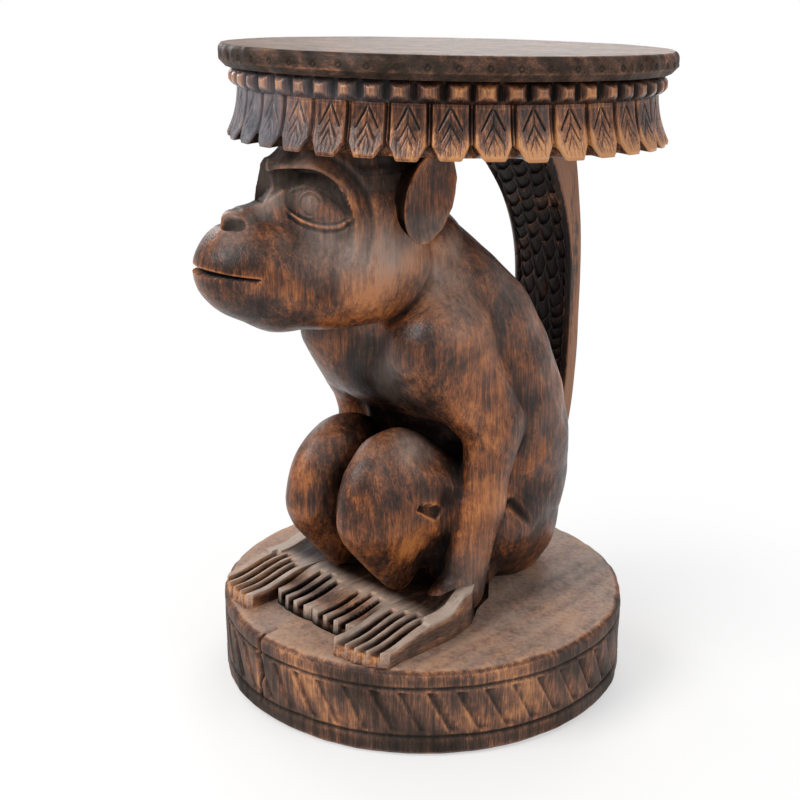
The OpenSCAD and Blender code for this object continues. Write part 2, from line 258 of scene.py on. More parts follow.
def carved_wood(name, tones, along=(1, 1, 0.07), grey="#75655b", shine=0.5, nicks=0.25):
    """Dark stained wood: streaks of grain stretched along one axis, blotches of stain, bare amber wood
    on worn edges, painted shade black in the cuts and hollows, and a grey for dust and polish and for
    painted sheen."""
    material, tree, output = blank(name)
    place = add(tree, "ShaderNodeTexCoord").outputs["Object"]
    grain = add(tree, "ShaderNodeMapping", links={"Vector": place, "Scale": along}).outputs[0]
    # The three marks: edges worn light and hollows painted dark as shade; amber bare wood, and painted
    # shade where it falls below 0; the grey of dust and polish, and painted sheen
    value = {key: add(tree, "ShaderNodeAttribute", {"attribute_name": key}).outputs["Fac"]
             for key in ("wear", "warm", "dull")}
    # Streaks 4 mm wide, pores under 1 mm, blotches of about 60 and 20 mm, and 6 mm specks
    for key, space, scale, detail, rough in (
            ("streak", grain, 260, 5, 0.65), ("pore", grain, 1100, 3, 0.6),
            ("stain", place, 16, 3, 0.55), ("mottle", place, 52, 6, 0.68),
            ("speck", place, 170, 4, 0.7)):
        value[key] = add(tree, "ShaderNodeTexNoise", links={
            "Vector": space, "Scale": scale, "Detail": detail, "Roughness": rough}).outputs["Fac"]
    # Each step is the product of two terms plus a third. Tone runs from black stain and painted shade to
    # bare wood, haze is the grey film and painted sheen, and cuts and haze are rougher than wax. Steps
    # in within stay from 0 to 1
    within = ("film", "haze", "hollow", "rough", "gloss")
    for key, *terms in (
            ("tone", "streak", 1.0, -1.455), ("tone", "stain", 1.1, "tone"),
            ("tone", "mottle", 0.75, "tone"), ("tone", "pore", 0.8, "tone"),
            ("tone", "speck", 0.3, "tone"), ("tone", "wear", 0.3, "tone"),
            ("tone", "warm", 0.42, "tone"), ("cloud", "mottle", 0.9, -0.3),
            ("film", "streak", 0.7, "cloud"), ("haze", "dull", "film", 0.0),
            ("hollow", "wear", -0.6, 0.0), ("grit", "speck", 0.35, shine - 0.17),
            ("grit", "grit", 1.0, "hollow"), ("rough", "dull", 0.08, "grit"),
            ("gloss", "warm", 0.25, 0.3), ("depth", "pore", 0.3, 0.0),
            ("depth", "streak", 0.5, "depth"), ("depth", "speck", nicks, "depth")):
        value[key] = add(tree, "ShaderNodeMath",
                         {"operation": "MULTIPLY_ADD", "use_clamp": key in within},
                         {at: value.get(term, term) for at, term in enumerate(terms)}).outputs[0]
    ramp = add(tree, "ShaderNodeValToRGB", links={0: value["tone"]})
    steps = ramp.color_ramp.elements
    while len(steps) < len(tones):
        steps.new(0.5)
    for step, (spot, code) in zip(steps, tones):
        step.position = spot
        step.color = linear(code)
    colour = add(tree, "ShaderNodeMix", {"data_type": "RGBA"},
                 {0: value["haze"], 6: ramp.outputs["Color"], 7: linear(grey)}).outputs[2]
    bump = add(tree, "ShaderNodeBump",
               links={"Strength": 0.7, "Distance": 0.0013, "Height": value["depth"]}).outputs[0]
    wood = add(tree, "ShaderNodeBsdfPrincipled", links={
        "Base Color": colour, "Roughness": value["rough"], "IOR": 1.5,
        "Specular IOR Level": value["gloss"], "Normal": bump})
    tree.links.new(wood.outputs[0], output.inputs["Surface"])
    return material


# Hardwood stained nearly black and waxed: brown shows through in streaks, amber on the edges
STAIN = ((0.0, "#0d0907"), (0.3, "#2b1b13"), (0.52, "#503325"), (0.72, "#7f5034"), (0.95, "#b27a48"))
base_wood = carved_wood("hewn_hardwood_stained_and_waxed", STAIN, grey="#938174")

outline = even([(6, 0), (BASE_R - BASE_EDGE, 0), (BASE_R, BASE_EDGE), (BASE_R, BASE_H - BASE_EDGE),
                (BASE_R - BASE_EDGE, BASE_H), (6, BASE_H)], [60, 1.5, 1.15, 1.2, 4.2])
turn = round_turns(BASE_COLUMNS)
r, z = outline[:, :1], outline[:, 1:]
lean = -np.clip(z - RING_LOW, 0, RING_HIGH - RING_LOW) * math.tan(STROKE_LEAN) / BASE_R
angle = turn + lean
side = smooth(BASE_R - 1.5, BASE_R - 0.5, r)
part = (turn * STROKES / math.tau + 0 * z) % 1
which = np.floor(turn * STROKES / math.tau).astype(int) % STROKES
deep = STROKE_DEPTH * (0.65 + 0.5 * chance.random(STROKES))[which]
band = smooth(RING_LOW + 2, RING_LOW + 6, z) * (1 - smooth(RING_HIGH - 4, RING_HIGH - 2, z))
stroke = np.where(part < 0.11, part / 0.11, 1 - smooth(0.11, 0.62, part)) * deep * band
rings = sum(np.maximum(0, 1 - np.abs(z - at - 0.5 * wander(turn * 5 + at)) / RING_W) * RING_W
            for at in (RING_LOW, RING_HIGH))
shaved = 0.7 * wander(turn * 19, z * 0.05) + 0.35 * wander(turn * 47, z * 0.09)
arris = smooth(BASE_H - 8, BASE_H - 2, z) * smooth(BASE_R - 14, BASE_R - 5, r)
crack = bump((angle - math.tau - CRACK_TURN + 0.012 * wander(z * 0.3)) * BASE_R, 0, 1.5)
crack = crack * smooth(8, 20, z) * smooth(BASE_R - 24, BASE_R - 6, r)
radius = r - side * (stroke + rings) + shaved * smooth(60, BASE_R, r) * 0.8 - 4.5 * crack
radius = radius - arris * (0.9 + 0.9 * wander(turn * 31, 3))
x, y = radius * np.cos(angle), radius * np.sin(angle)
upper = smooth(BASE_H - 1.5, BASE_H - 0.2, z)
paring = 0.9 * np.abs(np.sin((x + 0.12 * y) / 5.2)) * smooth(60, 95, x) + 0.6 * wander(x / 7, y / 22)
height = z - upper * (0.4 + paring * smooth(40, 90, r) + 2 * crack)
height = height - arris * (0.6 + 0.6 * wander(turn * 26))
points = np.stack([x, y, np.maximum(height, 0)], axis=-1)
skin("base_slab", points, base_wood, "base_wood", node="base_disc",
     wear=edge_wear(points, (1, 1.6, -1, 1), (3, 2.2, -0.6, 0.5)),
     warm=side * (0.8 * wander(turn * 7, z / 20) - 0.25 - 0.5 * smooth(RING_LOW + 8, RING_LOW, z))
     + 0.45 * upper,
     dull=upper * (1.1 + 0.35 * wander(x / 3.5, y / 60)) + 0.15 * side)

# ---- Feet and hands ----
# Flat slabs of the log left standing on the base, the feet side by side under the knees and a hand
# outside each. Channels cut with a round gouge part toes and fingers; the tops are greyed by rubbing
# and by painted sheen, and painted shade lies in the channels and under the knees.
SIDES = (("left", 1), ("right", -1))
SLAB_COLUMNS, SLAB_ROWS = 240, 156
BED = BASE_H - 0.5
FINGER_CUTS = ((57.8, 58.5, -88, -146), (67.3, 67.5, -84, -146), (76.8, 77, -80, -146),
               (85.8, 87, -84, -146))
TOE_CUTS = ((12.5, 12.0, -82, -130), (23.8, 23.5, -78, -130), (35, 35, -80, -130))
FINGER_CUT_HALF, TOE_CUT_HALF = 4.3, 3.9
HAND_INNER = ((-146, -90, -50, -20, 6), (49, 49.5, 49.5, 52, 60))
HAND_OUTER = ((-146, -60, -36, -14, 8), (96, 96, 90, 76, 68))
FOOT_OUTER = ((-124, -100, -80, -20), (45, 47, 49.3, 49.3))
FINGER_ENDS = ((48, 54, 60, 68, 77, 86, 96), (-142.5, -145, -143.5, -143, -141, -138, -131))
TOE_ENDS = ((0, 12, 24, 36, 47), (-123, -124, -124, -122, -119))


def slab(inner, outer, front, back, top):
    """A slab on the base as a closed grid: rows from back to front between two edges, which are tables
    of y and x, and columns round each section, most of them across the top at a height top(x, y)."""
    y = np.linspace(back, front, SLAB_ROWS)[:, None]
    x0, x1 = np.interp(y, *inner), np.interp(y, *outer)
    x = x0 + (x1 - x0) * np.linspace(0, 1, SLAB_COLUMNS)
    height = np.maximum(top(x, y), BED + 0.4)
    wall = np.linspace(0, 1, 10)[1:-1]
    right_wall = BED + (height[:, -1:] - BED) * (1 - wall)
    left_wall = BED + (height[:, :1] - BED) * wall
    under = np.linspace(1, 0, 6)
    xs = np.concatenate([x, x1 + 0 * wall, x0 + (x1 - x0) * under, x0 + 0 * wall], axis=1)
    zs = np.concatenate([height, right_wall, BED + 0 * under * y, left_wall], axis=1)
    return np.stack([xs, y + 0 * xs, zs], axis=-1)


def round_tips(grid, ends, deep, first, pitch):
    """A slab, its rows now from front to back, with its front cut to a line of ends, a table of x and
    y, less a folded sine that rounds each finger or toe."""
    x, y, z = np.moveaxis(grid, -1, 0)
    end = np.interp(x, *ends) - deep * np.abs(np.sin((x - first) / pitch * math.pi))
    z = np.where(y < end + 2, np.minimum(z, BASE_H), z)
    return np.stack([x, np.maximum(y, end + 1), z], axis=-1)[::-1]


def channels(x, y, lines, half):
    """How deep each channel is cut, 0 to 1: rounded troughs along lines from back to front, each with
    a sheer end at the back."""
    depth = 0 * (x + y)
    for x_back, x_front, y_back, y_front in lines:
        t = np.clip((y - y_back) / (y_front - y_back), 0, 1.2)
        off = np.abs(x - (x_back + (x_front - x_back) * t)) / (half * (0.8 + 0.2 * t))
        trough = np.sqrt(np.clip(1 - off ** 3, 0, 1)) * smooth(y_back + 0.8, y_back - 1.2, y)
        depth = np.maximum(depth, trough)
    return depth


def knuckle(y):
    """Height of the top of a hand along it, before the channels were cut."""
    return BASE_H + 11.5 + 7 * smooth(-132, -88, y)


def hand_top(x, y):
    """Height of the left hand: low at the finger ends, flat over the knuckles, up to the wrist, with a
    flat bevel left proud along the outer edge behind the fingers."""
    z = knuckle(y) + 10 * smooth(-74, -34, y) * smooth(50, 70, x)
    behind = smooth(-90, -88, y) * smooth(-34, -48, y)
    z = z + 2 * smooth(-12.5, -11, x - np.interp(y, *HAND_OUTER)) * behind
    z = z - channels(x, y, FINGER_CUTS, FINGER_CUT_HALF) * (9.5 - 5.5 * smooth(-104, -142, y))
    return z + 0.3 * wander(x / 4, y / 9) + 0.3 * wander(x / 1.6, y / 14)


def foot_top(x, y):
    """Height of the left foot: low at the toes, rising to the ankle under the knee."""
    cut = channels(x, y, TOE_CUTS, TOE_CUT_HALF) * (10 - 3.5 * smooth(-98, -120, y))
    return BASE_H + 11 + 7 * smooth(-112, -70, y) - cut + 0.35 * wander(x / 4, y / 9)


def on_side(grid, sign):
    """A grid of the left side as it is, or mirrored for the right with its columns turned round, so
    that the faces still point outwards."""
    return (grid * (sign, 1, 1))[:, ::sign]


hand = round_tips(slab(HAND_INNER, HAND_OUTER, -145.5, 8.0, hand_top), FINGER_ENDS, 2.0, 49, 9.3)
foot = round_tips(slab(((0,), (0.4,)), FOOT_OUTER, -124, -15, foot_top), TOE_ENDS, 1.6, 1, 11.3)
# The same stained wood with its grain from wrist to fingertip, matt, and greyer on the tops for handling
# and painted sheen
hand_wood = carved_wood("carved_hands_of_stained_hardwood", STAIN, (1, 0.12, 1), "#a49385", 0.4)
for side_name, sign in SIDES:
    points = on_side(hand, sign)
    x, y, z = np.abs(points[..., 0]), points[..., 1], points[..., 2]
    # Painted shade darkens the finger channels and the back of the hand under the knee and arm; the flat
    # tops take the grey of handling and painted sheen
    deep = knuckle(y) - z
    lit = smooth(-4, -1, z - hand_top(x, y))
    wall = 0.1 * (1 - lit) * smooth(88, 91, x)
    shady = smooth(-88, -66, y) * smooth(90, 80, x)
    bevel = smooth(-13, -10, x - np.interp(y, *HAND_OUTER)) * smooth(-92, -86, y) * lit
    skin(f"{side_name}_hand", points, hand_wood, "base_wood",
         wear=edge_wear(points, (1, 1.6, -1, 0.8), (3, 2.0, -0.6, 0.5)),
         warm=0.4 * smooth(-128, -141, y) + 0.25 - 0.8 * smooth(2.0, 5.0, deep) * smooth(-146, -118, y)
         + wall - 0.8 * shady,
         dull=1.4 * smooth(4, 0, deep) * lit * (1 - shady) + 2.5 * wall + 0.7 * bevel)
for side_name, sign in SIDES:
    points = on_side(foot, sign)
    # Painted shade darkens the toe channels and the back of the foot under the knee; the flat tops are
    # greyer
    deep = knuckle(points[..., 1]) - 1 - points[..., 2]
    shady = smooth(-82, -64, points[..., 1])
    skin(f"{side_name}_foot", points, hand_wood, "base_wood",
         wear=edge_wear(points, (1, 1.6, -1, 0.8), (3, 2.0, -0.6, 0.5)),
         warm=0.25 - 1.3 * smooth(2.0, 6.5, deep) - 0.9 * shady,
         dull=1.5 * smooth(5, 0, deep) * (1 - shady))

# ---- Head ----
# The head is turned a little to its right. A deep mask is cut round each eye under a raised brow
# band, the nose is a flat-topped wedge, and the mouth one knife cut round the broad muzzle.
HEAD_AT = np.array([0.0, -42.0, 0.0])
HEAD_TURN = math.radians(20)
HEAD_TOP = 432.5
SKULL = ((0, -20, 379), (60, 46, 54), (0, -40, 388), (54, 44, 44))
JAW = ((0, -17, 360), (58, 44, 50), (0, -34, 342), (56, 50, 42))
CHEEK = ((31, -22, 345), (27, 42, 40), (26, -56, 338), (28, 42, 35))
BROW = ((0, -52, 404), (51, 42, 11.3))
BROW_FOOT = 34
DOME_Z, DOME_RISE = 404, 0.35
SOCKET = ((0, -25, 375), (50, 60, 64))
SOCKET_LIFT = 8
MUZZLE_BACK, MUZZLE_MID = ((0, -46, 342), (53, 39, 41)), ((0, -84, 342), (46, 44, 42))
MUZZLE_TIP = ((0, -102, 347), (43, 45, 38.5))
NOSE = ((0, -104, 385), (12, 10, 6), (0, -115.5, 383.5), (15, 10, 7))
BRIDGE_LINE = ((84, 92, 97, 104, 112, 122), (404, 399, 394.5, 392, 390.5, 380))
BRIDGE_HALF, BRIDGE_BACK, BRIDGE_FRONT = (15, 9), 60, 120
KEEL_NEAR = ((390, 396, 407, 414, 421), (99, 95, 89.5, 91, 94))
KEEL_FAR = ((390, 402, 413, 419, 423), (95, 94, 91, 89, 86))
KEEL_EDGES, KEEL_LOW, KEEL_HIGH = (-19, 10), 388, 423
NOSTRIL = ((9, -123, 381.5), (7.5, 6, 5.3), (14, -118, 380.8), (7, 5.5, 4.3))
EYE_TURN = math.radians(24.9)
MASK_MID, MASK_BACK, MASK_FRONT, MASK_HIGH, MASK_LOW = (56, 380), 38, 62, 40, 46
MASK_RIM, MASK_TRENCH, MASK_DEPTH = (3.5, 3.5), (12.0, 2.4), 30
CHEEK_Z, CHEEK_LOW = 372, 345
EYE_MID, EYE_HALF, EYE_HIGH, EYE_LOW = (46.5, 390.5), 22.5, 15.0, 8.5
LID_CUT, LID_EDGE, LID_FOLD = (-1.0, 1.0), (1.6, 1.5), (4.8, 1.3)
MOUTH_Z, MOUTH_FALL, MOUTH_FRONT, MOUTH_CORNER = 350.0, 0.10, 148, 111
RAY_STEPS, RAY_SHARE = 34, 0.8


def fold(p):
    """Points brought to the left side of the middle plane."""
    return np.concatenate([np.abs(p[..., :1]), p[..., 1:]], axis=-1)


def ellipsoid(p, at, size):
    """Near distance to an ellipsoid: k (k - 1) over m, where k is the length of the point scaled by
    the radii and m the length of it scaled by them twice."""
    q = (p - np.asarray(at, float)) / size
    k = np.sqrt(np.einsum("...i,...i", q, q))
    q = q / size
    return k * (k - 1) / np.maximum(np.sqrt(np.einsum("...i,...i", q, q)), 1e-9)


def rod(p, a, size_a, b, size_b):
    """Near distance to an ellipsoid swept from a to b while its radii change evenly."""
    a, b, size_a, size_b = (np.asarray(v, float) for v in (a, b, size_a, size_b))
    h = np.clip(((p - a) @ (b - a)) / ((b - a) @ (b - a)), 0, 1)[..., None]
    return ellipsoid(p - h * (b - a), a, size_a + h * (size_b - size_a))


def blend(a, b, soft):
    """Smooth union: the lesser of a and b, less soft h (1 - h) where they come within soft."""
    h = np.clip(0.5 + 0.5 * (b - a) / soft, 0, 1)
    return b + (a - b) * h - soft * h * (1 - h)


def carve(a, b, soft):
    """Form a with form b cut away, the edge eased by soft."""
    return -blend(-a, b, soft)


def bezier(ends, s):
    """Points at s along the cubic curve led by four points."""
    s = np.asarray(s, float)[..., None]
    a, b, c, d = (np.asarray(v, float) for v in ends)
    return (1 - s) ** 3 * a + 3 * (1 - s) ** 2 * s * b + 3 * (1 - s) * s ** 2 * c + s ** 3 * d


def hewn(p, width):
    """Flat hollows of the gouge, 0 to near 2: folded sines along three directions, multiplied in pairs
    and added."""
    x, y, z = np.moveaxis(p / width * math.pi, -1, 0)
    a = np.abs(np.sin(0.8 * x + 0.3 * y + 0.5 * z + np.sin(0.35 * z + 0.2 * y)))
    b = np.abs(np.sin(-0.3 * x + 0.7 * y + 0.62 * z + 1.3 + np.sin(0.3 * x)))
    c = np.abs(np.sin(0.5 * x - 0.6 * y + 0.58 * z + 2.6 + np.sin(0.25 * y)))
    return (a * b + b * c + c * a) / 1.6


def spin(x, y, angle):
    """Two coordinates turned by an angle in their plane."""
    c, s = math.cos(angle), math.sin(angle)
    return c * x - s * y, s * x + c * y


def from_head(p, move=True):
    """Points, or with move off directions, of the head's frame in the stool's."""
    x, y, z = np.moveaxis(p, -1, 0)
    return np.stack([*spin(x, y, -HEAD_TURN), z], axis=-1) + HEAD_AT * move


def mask_ring(q):
    """Distance from the rim of the mask, less than 0 inside it, then distance out square to the mask,
    and along it towards the nose."""
    across, out = spin(-q[..., 1], q[..., 0], EYE_TURN)
    z = q[..., 2]
    reach = np.where(across > MASK_MID[0], MASK_FRONT, MASK_BACK)
    tall = np.where(z > MASK_MID[1], MASK_HIGH, MASK_LOW)
    ring = np.hypot((across - MASK_MID[0]) / reach, (z - MASK_MID[1]) / tall)
    return (ring - 1) * MASK_BACK, out, across


def head_field(p):
    """The head in its own frame: skull, jaw and flat-topped brow run together; inside the mask's ring
    the face is cut back to its own round floor; then eye, bridge, muzzle, nostrils and mouth."""
    q = fold(p)
    lat, ahead_of, z = q[..., 0], -q[..., 1], q[..., 2]
    ring, out, across = mask_ring(q)
    dome = np.where(z > DOME_Z, DOME_Z + DOME_RISE * (z - DOME_Z), z)
    domed = np.stack([lat, -ahead_of, dome], axis=-1)
    form = rod(domed, *SKULL)
    form = blend(form, blend(rod(q, *JAW), rod(q, *CHEEK), 8), 8)
    foot = np.where(z > DOME_Z, dome, DOME_Z + (z - DOME_Z) * BROW[1][2] / BROW_FOOT)
    form = blend(form, ellipsoid(np.stack([lat, -ahead_of, foot], axis=-1), *BROW), 6)
    facing = smooth(26, 44, out) * smooth(340, 362, z)
    band = 1.6 * bump(ring, *MASK_RIM) - 1.1 * bump(ring, *MASK_TRENCH)
    uncut = form
    form = form - facing * band * (0.35 + 0.65 * smooth(58, 40, across))
    slope = 0.15 + 0.55 * smooth(46, 24, across) * smooth(414, 404, z)
    cut = np.maximum(ring + slope * np.maximum(0, -uncut), MASK_DEPTH - out)
    low_face = smooth(CHEEK_Z, CHEEK_LOW, z)
    form = carve(form, cut, 0.9 + 9 * low_face)
    floor = ellipsoid(q, *SOCKET) - SOCKET_LIFT * low_face
    form = blend(form, np.maximum(floor, uncut + 0.5), 0.8 + 12 * smooth(CHEEK_Z + 6, CHEEK_LOW, z))
    # The eye swells from the floor of the mask over a double fold of the lower lid
    u, v = across - EYE_MID[0], z - EYE_MID[1] - 0.2 * (across - EYE_MID[0])
    half = np.where(v > 0, EYE_HIGH, EYE_LOW) * np.clip(1 - (np.abs(u) / EYE_HALF) ** 2, 0, 1) ** 0.6
    lid = np.where(np.abs(u) < EYE_HALF, np.abs(v) - half, np.hypot(np.abs(u) - EYE_HALF, v))
    on_face = smooth(36, 46, out)
    low_lid = smooth(4, -5, v)
    folds = (0.25 + 0.5 * low_lid) * bump(lid, *LID_CUT) - (0.2 + 1.2 * low_lid) * bump(lid, *LID_EDGE)
    folds = folds + 0.9 * low_lid * bump(lid, *LID_FOLD)
    form = form + on_face * (folds - 4.5 * bump(u, 0, 18) * bump(v, 3, 13))
    muzzle = blend(rod(q, *MUZZLE_BACK, *MUZZLE_MID), rod(q, *MUZZLE_MID, *MUZZLE_TIP), 8)
    form = blend(form, muzzle, 9)
    ridge = np.interp(ahead_of, *BRIDGE_LINE)
    half = BRIDGE_HALF[0] + (BRIDGE_HALF[1] - BRIDGE_HALF[0]) * smooth(84, 104, ahead_of)
    bridge = carve(lat - half - 0.35 * (ridge - z), ridge - z, 2.0)
    bridge = np.maximum(bridge, np.maximum(ahead_of - BRIDGE_FRONT, BRIDGE_BACK - ahead_of))
    form = blend(form, np.maximum(bridge, CHEEK_Z - z), 4)
    side = p[..., 0]
    t = np.clip((KEEL_EDGES[1] - side) / (KEEL_EDGES[1] - KEEL_EDGES[0]), 0, 1)
    front = (1 - t) * np.interp(z, *KEEL_NEAR) + t * np.interp(z, *KEEL_FAR) - 2.5 * np.sin(math.pi * t)
    keel = carve(np.maximum(side - KEEL_EDGES[1], KEEL_EDGES[0] - side), front - ahead_of, 1.0)
    keel = np.maximum(np.maximum(keel, BRIDGE_BACK - ahead_of), np.maximum(z - KEEL_HIGH, KEEL_LOW - z))
    form = blend(form, keel, 2.5)
    form = carve(blend(form, rod(q, *NOSE), 4), rod(q, *NOSTRIL), 1.6)
    slit = np.abs(z - MOUTH_Z + MOUTH_FALL * (MOUTH_FRONT - ahead_of)) - 0.3
    slit = slit - 1.6 * smooth(MOUTH_CORNER + 1, MOUTH_FRONT - 2, ahead_of)
    slit = np.maximum(np.maximum(slit, -(form + 8)), MOUTH_CORNER - ahead_of)
    form = carve(form, slit, 1.2)
    return np.maximum(form + 0.3 * hewn(q, 26) - 0.15, z - HEAD_TOP)


def face_part(p):
    """The head up to the top of the eyes, set in by a hair where the brow part lies over it."""
    return np.maximum(head_field(p) + 0.06 * smooth(BROW_LEVEL - 0.5, BROW_LEVEL, p[..., 2]),
                      p[..., 2] - BROW_LEVEL - 3)


def brow_part(p):
    """The head from the top of the eyes up."""
    return np.maximum(head_field(p), BROW_LEVEL - p[..., 2])


def cast(field, spine, facing, rows, cols, ends=(0.25, 0.25), floor_z=None):
    """Rays leave a curved spine square to it, and fan round its two ends; each runs out by the field's
    value until it is zero. facing is the direction of the first column."""
    u = np.linspace(0, 1, rows)
    tip = np.where(u < ends[0], u / ends[0] - 1, np.maximum(0, (u - 1 + ends[1]) / ends[1]))
    tip = (tip * math.pi * 0.495)[:, None, None]
    s = np.clip((u - ends[0]) / (1 - sum(ends)), 0, 1)
    start = bezier(spine, s)[:, None, :]
    axis = bezier(spine, s + 0.01) - bezier(spine, s - 0.01)
    axis /= np.linalg.norm(axis, axis=-1, keepdims=True)
    first = np.array(facing) - (axis @ facing)[:, None] * axis
    first /= np.linalg.norm(first, axis=-1, keepdims=True)
    second = np.cross(axis, first)
    turn = round_turns(cols)[:, None]
    ray = np.cos(turn) * first[:, None] + np.sin(turn) * second[:, None]
    ray = np.cos(tip) * ray + np.sin(tip) * axis[:, None]
    reach = np.zeros(ray.shape[:2])
    for _ in range(RAY_STEPS):
        reach = np.maximum(0, reach - RAY_SHARE * field(start + reach[..., None] * ray))
    points = start + reach[..., None] * ray
    if floor_z is not None:
        fall = np.minimum(ray[..., 2], -1e-6)
        down = np.where(ray[..., 2] < -1e-6, (floor_z - start[..., 2]) / fall, np.inf)
        points = start + np.minimum(reach, down)[..., None] * ray
    return points


def lay(field, points, fine=1.5, broad=6.0):
    """Outward directions of a field at points, and how sharply it turns there, on two scales."""
    steps = np.eye(3)
    near = [(field(points + e * fine), field(points - e * fine)) for e in steps]
    wide = sum(field(points + e * broad) + field(points - e * broad) for e in steps)
    middle = field(points)
    out = np.stack([a - b for a, b in near], axis=-1)
    out /= np.linalg.norm(out, axis=-1, keepdims=True) + 1e-9
    sharp = (sum(a + b for a, b in near) - 6 * middle) / fine ** 2
    bend = (wide - 6 * middle) / broad ** 2
    return out, np.clip(1.6 * (sharp - 0.05), -1, 1) + np.clip(2.5 * (bend - 0.04), -0.6, 0.6)


# Hardwood stained dark, waxed and rubbed by hand: a soft shine, with red brown in the streaks
WAXED = ((0.0, "#0a0605"), (0.3, "#28170f"), (0.5, "#4c2c1c"), (0.7, "#7b4624"), (1.0, "#ab6a36"))
body_wood = carved_wood("carved_hardwood_stained_and_waxed", WAXED, grey="#8a7a70", shine=0.3, nicks=0.3)
# Where amber wood shows through, where grey is laid on and where shade is painted black, as x, y, z,
# radius and strength
AMBER = (
    (40, -93, 331, 20, 0.9), (44, -86, 348, 15, 0.9), (53, -66, 356, 17, 0.8), (52, -68, 378, 24, 0.6),
    (8, -145, 332, 11, 0.7), (-3, -163, 341, 9, 0.8), (19, -113, 318, 14, 0.6), (30, -109, 329, 12, 0.5),
    (85, -37, 296, 22, 0.7), (88, -30, 269, 24, 0.8), (86, -34, 236, 22, 0.8), (91, -14, 205, 24, 0.6),
    (89, -16, 167, 24, 0.8), (90, -22, 128, 24, 0.8), (74, 77, 223, 34, 0.5), (80, 64, 185, 34, 0.4),
    (58, -34, 322, 22, 0.6), (46, -76, 364, 20, 0.5), (72, 70, 290, 24, 0.3), (-35, -62, 275, 22, 0.6),
    (64, -53, 161, 6, 1.6), (57, -68, 134, 17, 0.8), (58, -54, 146, 12, 0.6), (-24, -108, 178, 16, 0.6),
    (-21, -108, 146, 14, 0.6), (36, -106, 130, 16, 0.5), (72, 24, 130, 20, 0.4))
# Grey: wax gone grey, and painted sheen and highlights on the neck, chest, knees and muzzle
GREY_FILM_AND_SHEEN = (
    (-22, -163, 377, 12, 0.9), (-7, -160, 370, 10, 0.3), (4, -142, 375, 14, 0.4),
    (24, -117, 369, 20, 1.0), (36, -100, 360, 20, 1.4), (44, -80, 360, 22, 1.5),
    (12, -150, 384, 14, 0.9), (4, -132, 400, 10, 0.8), (4, -137, 424, 12, 0.6), (16, -128, 424, 12, 0.4),
    (54, -36, 336, 22, 1.4), (62, -32, 312, 22, 1.3), (56, -20, 356, 18, 1.1), (26, -72, 261, 20, 0.5),
    (44, -60, 268, 18, 0.4), (2, -69, 279, 16, 0.3), (45, -58, 209, 15, 1.5), (50, -47, 206, 10, 0.8),
    (30, -84, 205, 16, 0.6), (-34, -80, 213, 13, 0.9), (-24, -92, 202, 14, 0.5), (66, 40, 330, 40, 0.5),
    (84, -30, 100, 14, 0.5), (78, -20, 110, 16, 0.7))
# Painted shade: under the chest and the jaw, in the valleys between knee and arm, behind the arm,
# between the knees, and over a highlight of the muzzle
PAINTED_SHADE = (
    (-14, -34, 216, 22, 1.5), (10, -35, 215, 22, 1.5), (26, -29, 210, 22, 1.5), (49, -13, 198, 18, 1.4),
    (67, -35, 168, 9, 0.9), (62, -34, 131, 11, 1.0), (62, -42, 108, 14, 0.9), (-6, -80, 141, 16, 1.0),
    (2, -84, 175, 12, 1.0), (79, 12, 240, 10, 0.6), (79, 23, 204, 12, 0.6), (73, 38, 148, 12, 0.5),
    (-19, -61, 237, 12, 0.6), (20, -108, 322, 9, 0.6), (26, -120, 332, 8, 0.5), (35, -70, 285, 16, 0.3),
    (-15, -171, 363, 14, 0.3), (60, -10, 330, 10, 0.5), (28, -66, 250, 24, 1.3), (45, -58, 238, 18, 1.0),
    (4, -62, 252, 24, 1.2), (16, -58, 236, 20, 1.2))


def spots(points, places):
    """Soft round patches: the largest of s exp(-d squared / r squared) over rows of x, y, z, r, s."""
    found = np.zeros(points.shape[:-1])
    for x, y, z, radius, strength in places:
        far = ((points - (x, y, z)) ** 2).sum(-1) / radius ** 2
        found = np.maximum(found, strength * np.exp(-far))
    return found


def shades(points):
    """Marks of a piece of the body: amber patches and painted shade against a plain tone, and the grey
    haze of film and painted sheen.
    """
    return {"warm": spots(points, AMBER) - spots(points, PAINTED_SHADE), "dull": spots(points, GREY_FILM_AND_SHEEN)}


HEAD_SPINE = ((0, -8, 366), (0, -40, 366), (0, -74, 360), (0, -98, 352))
# Grey laid on the flat of the bridge, and painted shade on the far brow's panel seen beyond it, as x, y,
# z, radius and strength in the head's frame
BRIDGE_GREY = ((14, -92, 398, 9, 1.0), (13, -99, 391, 9, 1.0), (12, -108, 386, 8, 0.6),
               (6, -118, 389, 7, 0.8))
FAR_PANEL_SHADE = ((-12, -92, 412, 12, 1.0), (-14, -94, 400, 12, 1.0), (-12, -100, 391, 8, 0.8))
BROW_SPINE = ((0, 5, 420), (0, -25, 422), (0, -50, 422), (0, -73, 421))
BROW_LEVEL = 405.0
for name, node, field, spine, rows, cols, ends in (
        ("head", "head", face_part, HEAD_SPINE, 330, 290, (0.24, 0.34)),
        ("brow", "", brow_part, BROW_SPINE, 250, 360, (0.2, 0.36))):
    points = cast(field, spine, (0, 0, 1), rows, cols, ends)
    out, wear = lay(head_field, points, 1.2, 5)
    ring = mask_ring(fold(points))[0]
    # Painted shade just inside the mask's rim under the brow and on the far panel, kept off the grey of
    # the bridge; the brow top is darker and greyer
    shadow = smooth(0.5, -1.5, ring) * smooth(-16, -5, ring) * smooth(384, 402, points[..., 2])
    haze = spots(points, BRIDGE_GREY)
    shadow = np.maximum(shadow, spots(points, FAR_PANEL_SHADE)) * (1 - haze)
    points = from_head(points)
    marks = shades(points)
    high = smooth(388, 412, points[..., 2])
    skin(name, points, body_wood, "stained_wood", from_head(out, False), node, wear=wear,
         warm=marks["warm"] - 1.9 * shadow - 0.5 * high, dull=marks["dull"] + haze + 0.4 * high)

